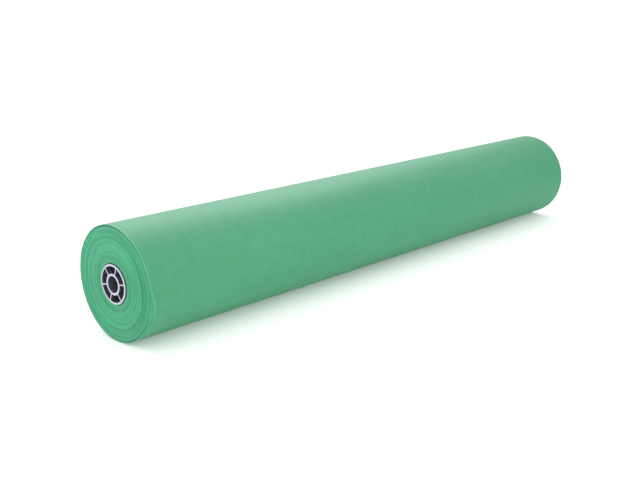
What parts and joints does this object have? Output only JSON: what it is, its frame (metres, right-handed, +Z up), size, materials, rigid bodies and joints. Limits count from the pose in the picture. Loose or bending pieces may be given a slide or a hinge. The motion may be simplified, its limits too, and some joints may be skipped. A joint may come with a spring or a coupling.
{
  "type": "backdrop paper roll",
  "caption": "Wide roll of green backdrop paper on a chipboard core, with a spoked spindle plug in each end and a leader that lifts off and lies flat.",
  "frame": {"origin": "centre of the roll, on its axis", "axes": "+X along the roll's axis towards the right plug, +Y to the back, where the leader lies, +Z up; the roll lies on the plane Z = -0.118 m"},
  "size_m": [1.529, 0.236, 0.2359],
  "materials": {
    "backdrop_paper": "matt dyed kraft paper with a soft calendered sheen; wound edges on the end faces",
    "core_board": "spiral-wound chipboard, raw",
    "tape": "double-sided tissue tape",
    "plug_plastic": "moulded dark grey plastic, front faces rubbed pale"
  },
  "bodies": {
    "roll": {"core_tube": "core_board", "start_tape": "tape", "paper_pack": "backdrop_paper", "slack_wraps": "backdrop_paper", "outer_turn": "backdrop_paper"},
    "leader_1": {"leader_1": "backdrop_paper"},
    "leader_2": {"leader_2": "backdrop_paper"},
    "leader_3": {"leader_3": "backdrop_paper"},
    "leader_4": {"leader_4": "backdrop_paper"},
    "leader_5": {"leader_5": "backdrop_paper"},
    "leader_6": {"leader_6": "backdrop_paper"},
    "plug_left": {"plug_left": "plug_plastic"},
    "plug_right": {"plug_right": "plug_plastic"}
  },
  "joints": [
    {"name": "plug_left_pull", "type": "slide", "parent": "roll", "child": "plug_left", "axis": [-1, 0, 0], "range_m": [0, 0.08]},
    {"name": "plug_right_pull", "type": "slide", "parent": "roll", "child": "plug_right", "axis": [1, 0, 0], "range_m": [0, 0.08]},
    {"name": "leader_lift_1", "type": "hinge", "parent": "roll", "child": "leader_1", "pos_m": [0, 0.01028, -0.11755], "axis": [-1, 0, 0], "range_deg": [0, 15], "stiffness_Nm_per_rad": 0.15, "springref_deg": -20.05},
    {"name": "leader_lift_2", "type": "hinge", "parent": "leader_1", "child": "leader_2", "pos_m": [0, 0.04987, -0.10694], "axis": [-1, 0, 0], "range_deg": [0, 20], "stiffness_Nm_per_rad": 0.15, "springref_deg": -20.05},
    {"name": "leader_lift_3", "type": "hinge", "parent": "leader_2", "child": "leader_3", "pos_m": [0, 0.08344, -0.08344], "axis": [-1, 0, 0], "range_deg": [0, 20], "stiffness_Nm_per_rad": 0.15, "springref_deg": -20.05},
    {"name": "leader_lift_4", "type": "hinge", "parent": "leader_3", "child": "leader_4", "pos_m": [0, 0.10694, -0.04987], "axis": [-1, 0, 0], "range_deg": [0, 20], "stiffness_Nm_per_rad": 0.15, "springref_deg": -20.05},
    {"name": "leader_lift_5", "type": "hinge", "parent": "leader_4", "child": "leader_5", "pos_m": [0, 0.11755, -0.01028], "axis": [-1, 0, 0], "range_deg": [0, 20], "stiffness_Nm_per_rad": 0.15, "springref_deg": -20.05},
    {"name": "leader_lift_6", "type": "hinge", "parent": "leader_5", "child": "leader_6", "pos_m": [0, 0.11398, 0.03054], "axis": [-1, 0, 0], "range_deg": [0, 20], "stiffness_Nm_per_rad": 0.15, "springref_deg": -20.05}
  ],
  "couplings": [
    {"joint": "leader_lift_2", "follows": "leader_lift_1", "ratio": 1.3333},
    {"joint": "leader_lift_3", "follows": "leader_lift_1", "ratio": 1.3333},
    {"joint": "leader_lift_4", "follows": "leader_lift_1", "ratio": 1.3333},
    {"joint": "leader_lift_5", "follows": "leader_lift_1", "ratio": 1.3333},
    {"joint": "leader_lift_6", "follows": "leader_lift_1", "ratio": 1.3333}
  ]
}
